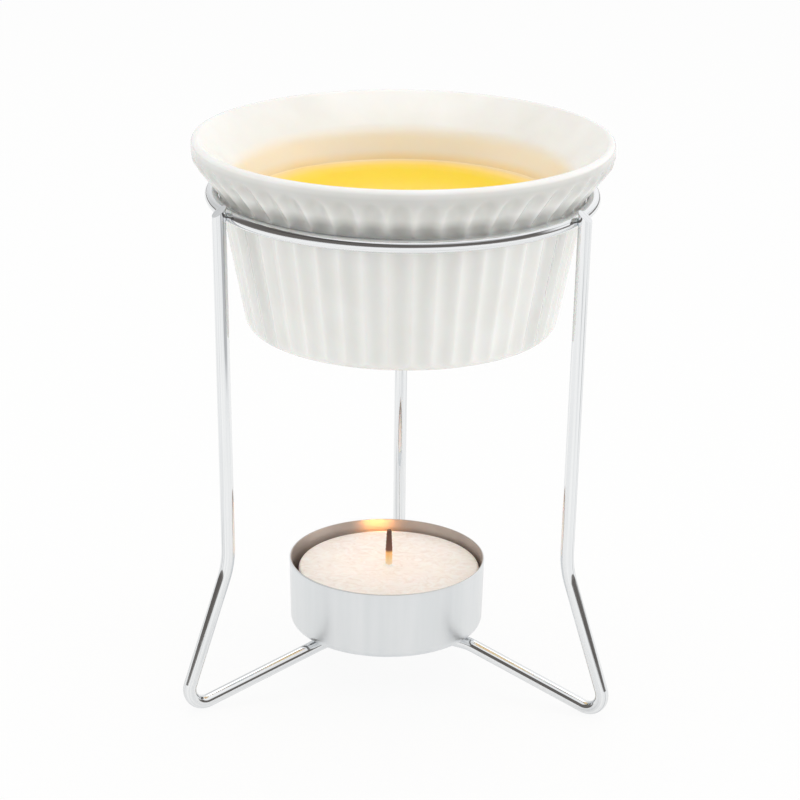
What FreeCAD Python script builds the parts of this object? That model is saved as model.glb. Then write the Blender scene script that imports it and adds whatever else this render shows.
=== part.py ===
"""Butter warmer: a fluted porcelain dish held in a wire stand above a tealight.

Millimetres, +Z up. The origin is on the table, on the upright axis of the hoop.
The front of the object faces -Y: two legs stand at the front and one at the back.
"""
import FreeCAD, Part
import math
import os

import Sketcher

os.makedirs("parts", exist_ok=True)
doc = FreeCAD.newDocument("ButterWarmer")

# Driving sizes: name, millimetres, meaning
SIZES = [
    ("wire_dia", 2.6, "wire of the hoop and the legs"),
    ("hoop_height", 97.7, "centre of the hoop's wire above the table"),
    ("leg_rise", 1.2, "middle of a leg's cut end above the hoop's centre"),
    ("leg_cut_slope", 0.75, "fall of the cut end for each mm outwards"),
    ("weld_bite", 0.2, "depth to which a leg is pressed into the hoop by the weld"),
    ("knee_reach", 37.2, "sharp corner of the knee from the stand's axis"),
    ("knee_height", 29.4, "sharp corner of the knee above the table"),
    ("knee_bend", 17, "bend radius of the knee, at the wire's centre"),
    ("foot_spread", 9.9, "outside of the foot beyond the knee"),
    ("foot_bend", 3.2, "bend radius of the foot, at the wire's centre"),
    ("shoulder_reach", 15, "end of the level run from the stand's axis"),
    ("shoulder_bend", 10, "bend radius between the level run and the sloping run"),
    ("run_height", 8.3, "centre of the level run above the table"),
    ("seat_drop", 1.2, "centre of the hoop's wire below the dish's neck"),
    ("seat_gap", 0.04, "room between the hoop and the dish"),
    ("neck_dia", 69.76, "dish at its neck, where the wall meets the flare"),
    ("neck_height", 27.1, "neck above the dish's base"),
    ("wall_lean", 5.33, "base's sharp corner inside the neck"),
    ("flare_reach", 4.92, "outside of the rim beyond the neck"),
    ("flare_rise", 6.3, "corner where the flare turns into the upright rim, above the neck"),
    ("rim_rise", 9.8, "top of the rim above the neck"),
    ("lip_round", 0.9, "radius of the rim's edge"),
    ("wall_thick", 4, "wall of the dish"),
    ("floor_thick", 4, "floor of the dish"),
    ("base_round", 2.7, "outer corner of the dish's base"),
    ("inner_round", 5, "corner between floor and wall inside the dish"),
    ("throat_height", 30.3, "corner between wall and flare inside, above the dish's base"),
    ("throat_round", 5, "that corner's radius"),
    ("neck_round", 3, "corner between wall and flare outside the dish"),
    ("rim_round", 3, "corner between flare and rim outside the dish"),
    ("foot_ring", 6.05, "ring round the hollow, from the base's sharp corner"),
    ("foot_hollow_depth", 0.8, "unglazed hollow under the dish"),
    ("flute_count", 48, "flutes round the dish"),
    ("flute_radius", 3.6, "round of a flute across"),
    ("flute_depth", 0.75, "depth of a flute at the neck and on the flare"),
    ("flute_foot_depth", 0.45, "depth of a flute at the base"),
    ("flute_bend", 4, "bend radius of a flute's axis at the neck"),
    ("flute_turn", 7.15, "turn of the dish on its axis, in degrees"),
    ("butter_drop", 2.5, "melted butter below the dish's neck"),
    ("cup_dia", 38.6, "tealight cup at its rim"),
    ("cup_taper", 0.3, "cup's base inside its rim"),
    ("cup_height", 13.75, "tealight cup"),
    ("cup_wall", 0.35, "sheet of the tealight cup"),
    ("cup_round", 1.7, "outer corner of the cup's base"),
    ("cup_offset", 2.2, "cup from the stand's axis, to the left"),
    ("candle_gap", 0.75, "room between the wax and the cup's base"),
    ("candle_drop", 2, "wax below the cup's rim"),
    ("candle_edge", 0.5, "upper corner of the wax"),
    ("candle_offset", 0.4, "wax from the cup's axis, to the right"),
    ("wick_dia", 1.4, "braided wick"),
    ("wick_height", 7.5, "wick above the wax"),
    ("wick_round", 0.4, "burnt edge of the wick's tip"),
    ("sustainer_dia", 12.6, "tin disc that holds the wick"),
    ("sustainer_sheet", 0.3, "sheet of the tin disc"),
    ("collar_dia", 2.8, "collar of the disc, crimped on the wick"),
    ("collar_height", 3, "top of the collar above the cup's floor"),
]

sheet = doc.addObject("Spreadsheet::Sheet", "Sizes")
for row, (alias, value, meaning) in enumerate(SIZES, start=1):
    sheet.set("A%d" % row, meaning)
    sheet.set("B%d" % row, str(value))
    sheet.setAlias("B%d" % row, alias)
doc.recompute()

# Places that follow from the driving sizes
WIRE_RADIUS = "Sizes.wire_dia / 2"
NECK_RADIUS = "Sizes.neck_dia / 2"
BASE_RADIUS = "(%s - Sizes.wall_lean)" % NECK_RADIUS
HOLLOW_RADIUS = "(%s - Sizes.foot_ring)" % BASE_RADIUS
DISH_BASE = "Sizes.hoop_height + Sizes.seat_drop - Sizes.neck_height"
WALL_SLOPE = "(Sizes.wall_lean / Sizes.neck_height)"
WALL_SECANT = "sqrt(1 + %s ^ 2)" % WALL_SLOPE
RIM_RADIUS = "(%s + Sizes.flare_reach)" % NECK_RADIUS
RIM_CORNER = "(Sizes.neck_height + Sizes.flare_rise)"
LIP_HEIGHT = "(Sizes.neck_height + Sizes.rim_rise - Sizes.lip_round)"
BUTTER_LEVEL = "(Sizes.neck_height - Sizes.butter_drop)"
SEAT_RADIUS = "(%s - Sizes.seat_drop * %s)" % (NECK_RADIUS, WALL_SLOPE)
HOOP_RADIUS = "(%s + (%s + Sizes.seat_gap) * %s)" % (SEAT_RADIUS, WIRE_RADIUS, WALL_SECANT)
LEG_REACH = "(%s + Sizes.wire_dia - Sizes.weld_bite)" % HOOP_RADIUS
LEG_TOP = "(Sizes.hoop_height + Sizes.leg_rise)"
FOOT_REACH = "(Sizes.knee_reach + Sizes.foot_spread)"
CUP_BASE = "Sizes.run_height + %s" % WIRE_RADIUS
CUP_BASE_RADIUS = "(Sizes.cup_dia / 2 - Sizes.cup_taper)"
CUP_INNER_ROUND = "Sizes.cup_round - Sizes.cup_wall"
CANDLE_BASE = "%s + Sizes.cup_wall" % CUP_BASE
CANDLE_RADIUS = "(%s - Sizes.cup_wall - Sizes.candle_gap)" % CUP_BASE_RADIUS
CANDLE_HEIGHT = "(Sizes.cup_height - Sizes.cup_wall - Sizes.candle_drop)"
UP = FreeCAD.Vector(0, 0, 1)
BACK = 90
TURN = 360
LEGS = ["leg_back", "leg_left", "leg_right"]
WELD_SWEEP = 20


def size(expression):
    """Value of an expression on the sheet, in mm or degrees."""
    value = sheet.evalExpression(str(expression))
    return float(getattr(value, "Value", value))


def new_body(label):
    body = doc.addObject("PartDesign::Body", label)
    body.Label = label
    return body


def new_sketch(body, role, label):
    """Sketch on one of the body's own origin planes."""
    sketch = body.newObject("Sketcher::SketchObject", label)
    plane = [item for item in body.Origin.OriginFeatures if item.Role == role][0]
    sketch.AttachmentSupport = [(plane, "")]
    sketch.MapMode = "FlatFace"
    return sketch


def rule(sketch, kind, *where):
    """Geometric constraint of a sketch."""
    sketch.addConstraint(Sketcher.Constraint(kind, *where))


def bind(sketch, kind, *where_and_expression):
    """Dimension of a sketch, driven by an expression on the sheet."""
    where, expression = where_and_expression[:-1], where_and_expression[-1]
    index = sketch.addConstraint(Sketcher.Constraint(kind, *where, size(expression)))
    sketch.setExpression("Constraints[%d]" % index, expression)


def place(sketch, element, vertex, x, y):
    """Hold a point of a sketch at two expressions, where 0 lays it on an axis."""
    for kind, axis, value in (("DistanceX", -2, x), ("DistanceY", -1, y)):
        if value == 0:
            rule(sketch, "PointOnObject", element, vertex, axis)
        elif size(value) < 0:
            bind(sketch, kind, element, vertex, -1, 1, "-(%s)" % value)
        else:
            bind(sketch, kind, -1, 1, element, vertex, value)


def draw_chain(sketch, points, bends):
    """Lines through corner points, with a tangent arc where a bend radius isn't 0.

    It returns the lines and the arcs, and None stands for the arc of a sharp corner.
    """
    ends = [points[0]]
    turns = []
    for before, corner, after, bend in zip(points, points[1:], points[2:], bends):
        back = (before - corner).normalize()
        ahead = (after - corner).normalize()
        half_angle = back.getAngle(ahead) / 2
        trim = bend / math.tan(half_angle)
        ends += [corner + back * trim, corner + ahead * trim]
        centre = corner + (back + ahead).normalize() * (bend / math.sin(half_angle))
        turns.append((centre, bend, ahead.x * back.y - ahead.y * back.x > 0))
    ends.append(points[-1])
    lines = [sketch.addGeometry(Part.LineSegment(*ends[at:at + 2])) for at in range(0, len(ends), 2)]
    arcs = []
    for number, (centre, bend, turns_left) in enumerate(turns):
        if bend == 0:
            rule(sketch, "Coincident", lines[number], 2, lines[number + 1], 1)
            arcs.append(None)
            continue
        entry, leave = ends[2 * number + 1], ends[2 * number + 2]
        first, last = (entry, leave) if turns_left else (leave, entry)
        angles = [math.atan2(point.y - centre.y, point.x - centre.x) for point in (first, last)]
        arc = sketch.addGeometry(Part.ArcOfCircle(Part.Circle(centre, UP, bend), *angles))
        entry_end, leave_end = (1, 2) if turns_left else (2, 1)
        rule(sketch, "Tangent", lines[number], 2, arc, entry_end)
        rule(sketch, "Tangent", arc, leave_end, lines[number + 1], 1)
        arcs.append(arc)
    return lines, arcs


def pass_through(sketch, x, y, *lines):
    """Construction point that lines pass through, as at a corner before it is rounded."""
    mark = sketch.addGeometry(Part.Point(FreeCAD.Vector(size(x), size(y), 0)), True)
    place(sketch, mark, 1, x, y)
    for line in lines:
        rule(sketch, "PointOnObject", mark, 1, line)


def outline(body, role, label, *corners):
    """Closed outline: each corner is an x and a y expression, and a radius where it is round.

    The first corner is a sharp one.
    """
    sketch = new_sketch(body, role, label)
    points = [FreeCAD.Vector(size(corner[0]), size(corner[1]), 0) for corner in corners]
    bends = [size(corner[2]) if len(corner) > 2 else 0 for corner in corners]
    lines, arcs = draw_chain(sketch, points + points[:1], bends[1:])
    rule(sketch, "Coincident", lines[-1], 2, lines[0], 1)
    for number, corner in enumerate(corners):
        if len(corner) == 2:
            place(sketch, lines[number], 1, *corner)
        else:
            pass_through(sketch, corner[0], corner[1], lines[number - 1], lines[number])
            bind(sketch, "Radius", arcs[number - 1], corner[2])
    return sketch


def disc(body, role, label, x, y, diameter):
    """Circle given by expressions."""
    sketch = new_sketch(body, role, label)
    centre = FreeCAD.Vector(size(x), size(y), 0)
    sketch.addGeometry(Part.Circle(centre, UP, size(diameter) / 2))
    place(sketch, 0, 3, x, y)
    bind(sketch, "Diameter", 0, diameter)
    return sketch


def turned(body, kind, sketch, label, axis="V_Axis", angle=TURN):
    """Revolution or Groove of a sketch about one of its own axes."""
    feature = body.newObject("PartDesign::" + kind, label)
    feature.Profile = sketch
    feature.ReferenceAxis = (sketch, [axis])
    feature.Angle = angle
    feature.Midplane = True
    doc.recompute()
    return feature


def cut_through(body, sketch, label, width):
    """Pocket to both sides of its sketch."""
    pocket = body.newObject("PartDesign::Pocket", label)
    pocket.Profile = sketch
    pocket.Midplane = True
    pocket.setExpression("Length", width)
    doc.recompute()
    return pocket


def dish_wall_inside(height):
    """Expression for the radius of the dish's inner wall at a height above its base."""
    return "(%s + %s * %s - Sizes.wall_thick * %s)" % (BASE_RADIUS, height, WALL_SLOPE, WALL_SECANT)


def make_dish():
    """Porcelain dish: a wall of even thickness, fluted outside up to its flare."""
    body = new_body("dish")
    body.Placement = FreeCAD.Placement(FreeCAD.Vector(), FreeCAD.Rotation(UP, size("Sizes.flute_turn")))
    body.setExpression("Placement.Base.z", DISH_BASE)
    body.setExpression("Placement.Rotation.Angle", "Sizes.flute_turn * 1deg")
    sketch = new_sketch(body, "XZ_Plane", "DishSection")
    seam_turn = "180deg / Sizes.flute_count"
    sketch.AttachmentOffset.Rotation = FreeCAD.Rotation(FreeCAD.Vector(0, 1, 0), size(seam_turn))
    sketch.setExpression("AttachmentOffset.Rotation.Angle", seam_turn)

    # A first place for every corner, which the constraints then hold
    hollow_x, hollow_y = size(HOLLOW_RADIUS), size("Sizes.foot_hollow_depth")
    base = FreeCAD.Vector(size(BASE_RADIUS), 0, 0)
    neck = FreeCAD.Vector(size(NECK_RADIUS), size("Sizes.neck_height"), 0)
    rim = FreeCAD.Vector(size(RIM_RADIUS), size(RIM_CORNER), 0)
    lip = size("Sizes.lip_round")
    lip_centre = FreeCAD.Vector(rim.x - lip, size(LIP_HEIGHT), 0)
    lip_start = FreeCAD.Vector(rim.x, lip_centre.y, 0)
    throat = FreeCAD.Vector(size(dish_wall_inside("Sizes.throat_height")), size("Sizes.throat_height"), 0)
    to_lip = lip_centre - throat
    rise = math.atan2(to_lip.y, to_lip.x) + math.asin(lip / to_lip.Length)
    lip_end = lip_centre + FreeCAD.Vector(-math.sin(rise), math.cos(rise), 0) * lip
    corner = FreeCAD.Vector(size(dish_wall_inside("Sizes.floor_thick")), size("Sizes.floor_thick"), 0)
    start = FreeCAD.Vector(0, hollow_y, 0)

    outside, outside_arcs = draw_chain(sketch, [
        start, FreeCAD.Vector(hollow_x, hollow_y, 0), FreeCAD.Vector(hollow_x, 0, 0), base, neck, rim, lip_start,
    ], [0, 0, size("Sizes.base_round"), size("Sizes.neck_round"), size("Sizes.rim_round")])
    underside, step, foot, wall, flare, rim_band = outside
    inside, inside_arcs = draw_chain(sketch, [
        lip_end, throat, corner, FreeCAD.Vector(0, corner.y, 0), start,
    ], [size("Sizes.throat_round"), size("Sizes.inner_round"), 0])
    inner_flare, inner_wall, floor, axis = inside
    lip_arc = sketch.addGeometry(Part.ArcOfCircle(Part.Circle(lip_centre, UP, lip), 0, rise + math.pi / 2))

    rule(sketch, "Coincident", axis, 2, underside, 1)
    rule(sketch, "Tangent", rim_band, 2, lip_arc, 1)
    rule(sketch, "Tangent", lip_arc, 2, inner_flare, 1)
    rule(sketch, "Horizontal", underside)
    rule(sketch, "Vertical", step)
    rule(sketch, "Horizontal", foot)
    rule(sketch, "Vertical", rim_band)
    rule(sketch, "Horizontal", floor)
    rule(sketch, "Parallel", wall, inner_wall)
    place(sketch, underside, 1, 0, "Sizes.foot_hollow_depth")
    place(sketch, foot, 1, HOLLOW_RADIUS, 0)
    pass_through(sketch, BASE_RADIUS, 0, wall)
    pass_through(sketch, NECK_RADIUS, "Sizes.neck_height", wall, flare)
    pass_through(sketch, RIM_RADIUS, RIM_CORNER, flare)
    place(sketch, lip_arc, 3, "%s - Sizes.lip_round" % RIM_RADIUS, LIP_HEIGHT)
    bind(sketch, "Radius", lip_arc, "Sizes.lip_round")
    bind(sketch, "Radius", outside_arcs[2], "Sizes.base_round")
    bind(sketch, "Radius", outside_arcs[3], "Sizes.neck_round")
    bind(sketch, "Radius", outside_arcs[4], "Sizes.rim_round")
    bind(sketch, "Radius", inside_arcs[0], "Sizes.throat_round")
    bind(sketch, "Radius", inside_arcs[1], "Sizes.inner_round")
    bind(sketch, "Distance", inner_wall, 1, wall, "Sizes.wall_thick")
    pass_through(sketch, dish_wall_inside("Sizes.throat_height"), "Sizes.throat_height", inner_flare)
    place(sketch, axis, 1, 0, "Sizes.floor_thick")
    turned(body, "Revolution", sketch, "DishBody")
    cut_flutes(body)
    return body


def cut_flutes(body):
    """Flutes: each is the path of a round tool, up the wall, out along the flare and into the air."""
    path = new_sketch(body, "XZ_Plane", "FlutePath")
    marks = {}
    for name, x, y in (
        ("base", BASE_RADIUS, 0), ("neck", NECK_RADIUS, "Sizes.neck_height"), ("rim", RIM_RADIUS, RIM_CORNER),
    ):
        marks[name] = path.addGeometry(Part.Point(FreeCAD.Vector(size(x), size(y), 0)), True)
        place(path, marks[name], 1, x, y)
    lower_end, upper_end = "Sizes.flute_radius", "(Sizes.neck_height + Sizes.rim_rise)"
    aside = size("Sizes.flute_radius - Sizes.flute_depth")
    neck = FreeCAD.Vector(size(NECK_RADIUS) + aside, size("Sizes.neck_height"), 0)
    (wall, flare), (bend,) = draw_chain(path, [
        FreeCAD.Vector(size(BASE_RADIUS), -size(lower_end), 0), neck,
        FreeCAD.Vector(size(RIM_RADIUS) + 2 * aside, size(upper_end), 0),
    ], [size("Sizes.flute_bend")])
    for mark, line, depth in (
        ("base", wall, "flute_foot_depth"), ("neck", wall, "flute_depth"),
        ("neck", flare, "flute_depth"), ("rim", flare, "flute_depth"),
    ):
        bind(path, "Distance", marks[mark], 1, line, "Sizes.flute_radius - Sizes." + depth)
    bind(path, "Radius", bend, "Sizes.flute_bend")
    bind(path, "DistanceY", wall, 1, -1, 1, lower_end)
    bind(path, "DistanceY", -1, 1, flare, 2, upper_end)
    doc.recompute()

    tool = body.newObject("Sketcher::SketchObject", "FluteTool")
    tool.AttachmentSupport = [(path, "Edge1")]
    tool.MapMode = "NormalToEdge"
    tool.addGeometry(Part.Circle(FreeCAD.Vector(), UP, size("Sizes.flute_radius")))
    place(tool, 0, 3, 0, 0)
    bind(tool, "Radius", 0, "Sizes.flute_radius")
    flute = body.newObject("PartDesign::SubtractivePipe", "Flute")
    flute.Profile = tool
    flute.Spine = (path, [])
    doc.recompute()

    flutes = body.newObject("PartDesign::PolarPattern", "Flutes")
    flutes.Originals = [flute]
    upright_axis = [item for item in body.Origin.OriginFeatures if item.Role == "Z_Axis"][0]
    flutes.Axis = (upright_axis, [""])
    flutes.Angle = TURN
    flutes.setExpression("Occurrences", "Sizes.flute_count")
    body.Tip = flutes
    doc.recompute()


def make_butter():
    """Melted butter: fills the dish up to its level, face to face with the porcelain."""
    body = new_body("melted_butter")
    body.setExpression("Placement.Base.z", DISH_BASE)
    floor_radius = dish_wall_inside("Sizes.floor_thick")
    section = outline(
        body, "XZ_Plane", "ButterSection",
        (0, "Sizes.floor_thick"),
        (floor_radius, "Sizes.floor_thick", "Sizes.inner_round"),
        (dish_wall_inside(BUTTER_LEVEL), BUTTER_LEVEL),
        (0, BUTTER_LEVEL),
    )
    turned(body, "Revolution", section, "ButterBody")
    return body


def make_hoop():
    """Hoop: one wire, bent round and butt welded, that the dish drops into."""
    body = new_body("hoop")
    section = disc(body, "XZ_Plane", "HoopSection", HOOP_RADIUS, "Sizes.hoop_height", "Sizes.wire_dia")
    turned(body, "Revolution", section, "HoopWire")
    return body


def make_leg(label, angle):
    """Leg: one wire, cut at the top, bent at knee, foot and shoulder, mitred at the centre."""
    body = new_body(label)
    body.Placement = FreeCAD.Placement(FreeCAD.Vector(), FreeCAD.Rotation(UP, angle))
    path = new_sketch(body, "XZ_Plane", label + "_Path")
    overlength = "%s + 2 * Sizes.wire_dia" % LEG_TOP
    foot_centre = "%s - %s - Sizes.foot_bend" % (FOOT_REACH, WIRE_RADIUS)
    corners = [
        FreeCAD.Vector(0, size("Sizes.run_height"), 0),
        FreeCAD.Vector(size("Sizes.shoulder_reach + %s" % WIRE_RADIUS), size("Sizes.run_height"), 0),
        FreeCAD.Vector(size("%s + %s" % (FOOT_REACH, WIRE_RADIUS)), 0, 0),
        FreeCAD.Vector(size("Sizes.knee_reach"), size("Sizes.knee_height"), 0),
        FreeCAD.Vector(size(LEG_REACH), size(overlength), 0),
    ]
    bends = ["Sizes.shoulder_bend", "Sizes.foot_bend", "Sizes.knee_bend"]
    runs, arcs = draw_chain(path, corners, [size(bend) for bend in bends])
    level_run, sloping_run, shin, upright = runs
    for arc, bend in zip(arcs, bends):
        bind(path, "Radius", arc, bend)
    place(path, level_run, 1, 0, "Sizes.run_height")
    rule(path, "Horizontal", level_run)
    bind(path, "DistanceX", -1, 1, level_run, 2, "Sizes.shoulder_reach")
    place(path, arcs[1], 3, foot_centre, "Sizes.foot_bend + %s" % WIRE_RADIUS)
    pass_through(path, "Sizes.knee_reach", "Sizes.knee_height", shin, upright)
    pass_through(path, LEG_REACH, "Sizes.hoop_height", upright)
    bind(path, "DistanceY", -1, 1, upright, 2, overlength)

    section = disc(body, "YZ_Plane", label + "_Section", 0, "Sizes.run_height", "Sizes.wire_dia")
    wire = body.newObject("PartDesign::AdditivePipe", label + "_Wire")
    wire.Profile = section
    wire.Spine = (path, [])
    doc.recompute()

    inner, outer = "%s - Sizes.wire_dia" % LEG_REACH, "%s + Sizes.wire_dia" % LEG_REACH
    above = "%s + 3 * Sizes.wire_dia" % LEG_TOP
    cut_end = outline(
        body, "XZ_Plane", label + "_CutEnd",
        (inner, "%s + Sizes.leg_cut_slope * Sizes.wire_dia" % LEG_TOP),
        (outer, "%s - Sizes.leg_cut_slope * Sizes.wire_dia" % LEG_TOP),
        (outer, above),
        (inner, above),
    )
    cut_through(body, cut_end, label + "_Trim", "3 * Sizes.wire_dia")
    mitre = outline(
        body, "XY_Plane", label + "_MitreLines",
        (0, 0),
        ("Sizes.wire_dia * tan(30deg)", "Sizes.wire_dia"),
        ("-Sizes.wire_dia", "Sizes.wire_dia"),
        ("-Sizes.wire_dia", "-Sizes.wire_dia"),
        ("Sizes.wire_dia * tan(30deg)", "-Sizes.wire_dia"),
    )
    cut_through(body, mitre, label + "_Mitre", "2 * (Sizes.run_height + Sizes.wire_dia)")
    seat = disc(body, "XZ_Plane", label + "_WeldSeat", HOOP_RADIUS, "Sizes.hoop_height", "Sizes.wire_dia")
    turned(body, "Groove", seat, label + "_Weld", angle=WELD_SWEEP)
    return body


def make_cup():
    """Tealight cup: drawn from thin aluminium sheet, slightly tapered, resting on the level runs."""
    body = new_body("tealight_cup")
    body.setExpression("Placement.Base.x", "-Sizes.cup_offset")
    body.setExpression("Placement.Base.z", CUP_BASE)
    section = outline(
        body, "XZ_Plane", "CupSection",
        (0, 0),
        (CUP_BASE_RADIUS, 0, "Sizes.cup_round"),
        ("Sizes.cup_dia / 2", "Sizes.cup_height"),
        ("Sizes.cup_dia / 2 - Sizes.cup_wall", "Sizes.cup_height"),
        ("%s - Sizes.cup_wall" % CUP_BASE_RADIUS, "Sizes.cup_wall", CUP_INNER_ROUND),
        (0, "Sizes.cup_wall"),
    )
    turned(body, "Revolution", section, "CupBody")
    return body


def seat_candle_piece(body):
    """Put a piece of the candle on the cup's floor."""
    body.setExpression("Placement.Base.x", "Sizes.candle_offset - Sizes.cup_offset")
    body.setExpression("Placement.Base.z", CANDLE_BASE)


def make_wax():
    """Wax: a loose slug in the cup, cast round the wick and the disc that holds it."""
    body = new_body("candle_wax")
    seat_candle_piece(body)
    section = outline(
        body, "XZ_Plane", "WaxSection",
        ("Sizes.sustainer_dia / 2", 0),
        (CANDLE_RADIUS, 0, CUP_INNER_ROUND),
        (CANDLE_RADIUS, CANDLE_HEIGHT, "Sizes.candle_edge"),
        ("Sizes.wick_dia / 2", CANDLE_HEIGHT),
        ("Sizes.wick_dia / 2", "Sizes.collar_height"),
        ("Sizes.collar_dia / 2", "Sizes.collar_height"),
        ("Sizes.collar_dia / 2", "Sizes.sustainer_sheet"),
        ("Sizes.sustainer_dia / 2", "Sizes.sustainer_sheet"),
    )
    turned(body, "Revolution", section, "WaxBody")
    return body


def make_sustainer():
    """Sustainer: a stamped tin disc with a collar, crimped on the foot of the wick."""
    body = new_body("wick_sustainer")
    seat_candle_piece(body)
    section = outline(
        body, "XZ_Plane", "SustainerSection",
        ("Sizes.wick_dia / 2", 0),
        ("Sizes.sustainer_dia / 2", 0),
        ("Sizes.sustainer_dia / 2", "Sizes.sustainer_sheet"),
        ("Sizes.collar_dia / 2", "Sizes.sustainer_sheet"),
        ("Sizes.collar_dia / 2", "Sizes.collar_height"),
        ("Sizes.wick_dia / 2", "Sizes.collar_height"),
    )
    turned(body, "Revolution", section, "SustainerBody")
    return body


def make_wick():
    """Wick: a braided cotton cord, stiff with wax, from the cup's floor to above the candle."""
    body = new_body("wick")
    seat_candle_piece(body)
    tip = "%s + Sizes.wick_height" % CANDLE_HEIGHT
    section = outline(
        body, "XZ_Plane", "WickSection",
        (0, 0),
        ("Sizes.wick_dia / 2", 0),
        ("Sizes.wick_dia / 2", tip, "Sizes.wick_round"),
        (0, tip),
    )
    turned(body, "Revolution", section, "WickCord")
    return body


bodies = [make_dish(), make_butter(), make_hoop()]
bodies += [make_leg(label, BACK + number * TURN / len(LEGS)) for number, label in enumerate(LEGS)]
bodies += [make_cup(), make_wax(), make_sustainer(), make_wick()]
doc.recompute()

for item in doc.Objects:
    if "Invalid" in item.State or "Error" in item.State:
        raise RuntimeError("%s failed: %s" % (item.Label, item.State))
for body in bodies:
    shape = body.Shape
    if shape.isNull() or not shape.isValid() or len(shape.Solids) != 1:
        raise RuntimeError("%s has no sound solid" % body.Label)
for body in bodies:
    body.Shape.exportStep(os.path.join("parts", body.Label + ".step"))
    print(body.Label, round(body.Shape.Volume, 2), "mm3", len(body.Shape.Faces), "faces")
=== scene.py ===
import math

import bmesh
import bpy
from mathutils import Matrix, Vector


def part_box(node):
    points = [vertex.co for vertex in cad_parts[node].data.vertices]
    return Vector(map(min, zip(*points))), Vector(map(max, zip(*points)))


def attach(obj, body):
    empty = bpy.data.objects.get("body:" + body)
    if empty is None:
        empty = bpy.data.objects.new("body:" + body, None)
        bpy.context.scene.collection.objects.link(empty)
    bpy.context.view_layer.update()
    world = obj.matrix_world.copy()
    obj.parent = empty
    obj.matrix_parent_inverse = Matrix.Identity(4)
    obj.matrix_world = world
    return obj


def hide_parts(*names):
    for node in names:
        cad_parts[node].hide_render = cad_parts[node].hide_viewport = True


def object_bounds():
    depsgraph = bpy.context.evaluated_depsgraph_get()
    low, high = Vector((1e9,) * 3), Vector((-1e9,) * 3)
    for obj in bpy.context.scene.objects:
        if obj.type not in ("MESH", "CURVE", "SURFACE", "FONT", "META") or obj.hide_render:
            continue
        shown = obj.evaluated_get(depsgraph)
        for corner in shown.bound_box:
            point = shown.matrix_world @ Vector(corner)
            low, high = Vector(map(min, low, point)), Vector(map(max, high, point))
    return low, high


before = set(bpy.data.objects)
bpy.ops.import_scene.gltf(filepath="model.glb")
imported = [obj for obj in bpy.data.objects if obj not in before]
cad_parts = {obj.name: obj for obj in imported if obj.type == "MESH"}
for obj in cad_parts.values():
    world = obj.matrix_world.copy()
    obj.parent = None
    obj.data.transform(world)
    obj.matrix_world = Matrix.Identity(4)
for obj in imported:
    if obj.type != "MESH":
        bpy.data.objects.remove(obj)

cad_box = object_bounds()
scene = bpy.context.scene
MM = 0.001


# View of the photograph: a long lens, half a metre away and a little above the dish.
# The place, the angles and the lens come from the ellipses of the lip, the hoop and the candle's cup.
camera = bpy.data.objects.new("camera", bpy.data.cameras.new("camera"))
camera.data.sensor_width = 36
camera.data.lens = 116.1
camera_place = Vector((1.8, -471.5, 224.9)) * MM
look_down, look_right, camera_roll = math.radians(19.69), math.radians(-0.22), math.radians(0.75)
camera.matrix_world = (
    Matrix.Translation(camera_place)
    @ Matrix.Rotation(-look_right, 4, "Z")
    @ Matrix.Rotation(math.pi / 2 - look_down, 4, "X")
    @ Matrix.Rotation(camera_roll, 4, "Z")
)
scene.collection.objects.link(camera)
scene.camera = camera
scene.view_settings.view_transform = "Standard"


# Studio: white paper on a dark table, in a white room. Soft boxes light it from above and from both sides.
# Only mirrors show the rest of the room: it is dark from the left round to behind the camera, grey on the
# left and white at the back.
def linear(hex_colour):
    """Linear colour of an sRGB hex value."""
    channels = [int(hex_colour[at:at + 2], 16) / 255 for at in (0, 2, 4)]
    return tuple(c / 12.92 if c <= 0.04045 else ((c + 0.055) / 1.055) ** 2.4 for c in channels) + (1,)


def add_node(tree, kind, inputs=None, stops=(), **settings):
    """Node with its settings, the stops of its ramp, and a value or a link for each input named."""
    made = tree.nodes.new(kind)
    for name, value in settings.items():
        setattr(made, name, value)
    for number, (place, colour) in enumerate(stops):
        ramp = made.color_ramp.elements
        stop = ramp[number] if number < 2 else ramp.new(place)
        stop.position = place
        stop.color = linear(colour)
    for name, value in (inputs or {}).items():
        if isinstance(value, bpy.types.NodeSocket):
            tree.links.new(value, made.inputs[name])
        else:
            made.inputs[name].default_value = value
    return made


def new_material(name):
    """Material with an empty node tree, and that tree."""
    material = bpy.data.materials.new(name)
    material.use_nodes = True
    material.node_tree.nodes.clear()
    return material, material.node_tree


# White paper: seamless white round the object, with its soft shadow. Beyond the paper's edge, mirrors show
# a dark table.
paper, tree = new_material("white_paper")
rays = add_node(tree, "ShaderNodeLightPath")
place = add_node(tree, "ShaderNodeTexCoord")
paper_centre, paper_half_size = Vector((-0.06, 1.95, 0)), Vector((0.44, 2.5, 1))
from_centre = add_node(tree, "ShaderNodeVectorMath", {
    0: place.outputs["Object"], 1: paper_centre}, operation="SUBTRACT")
share_of_half = add_node(tree, "ShaderNodeVectorMath", {
    0: from_centre.outputs[0], 1: paper_half_size}, operation="DIVIDE")
either_way = add_node(tree, "ShaderNodeVectorMath", {0: share_of_half.outputs[0]}, operation="ABSOLUTE")
sideways = add_node(tree, "ShaderNodeSeparateXYZ", {0: either_way.outputs[0]})
furthest = add_node(tree, "ShaderNodeMath", {
    0: sideways.outputs["X"], 1: sideways.outputs["Y"]}, operation="MAXIMUM")
off_paper = add_node(tree, "ShaderNodeMapRange", {0: furthest.outputs[0], 1: 0.98, 2: 1.02})
table_mirrored = add_node(tree, "ShaderNodeMath", {
    0: off_paper.outputs[0], 1: rays.outputs["Is Glossy Ray"]}, operation="MULTIPLY")
mirrored = add_node(tree, "ShaderNodeMath", {
    0: rays.outputs["Is Glossy Ray"], 1: rays.outputs["Is Transmission Ray"]}, operation="MAXIMUM")
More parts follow.
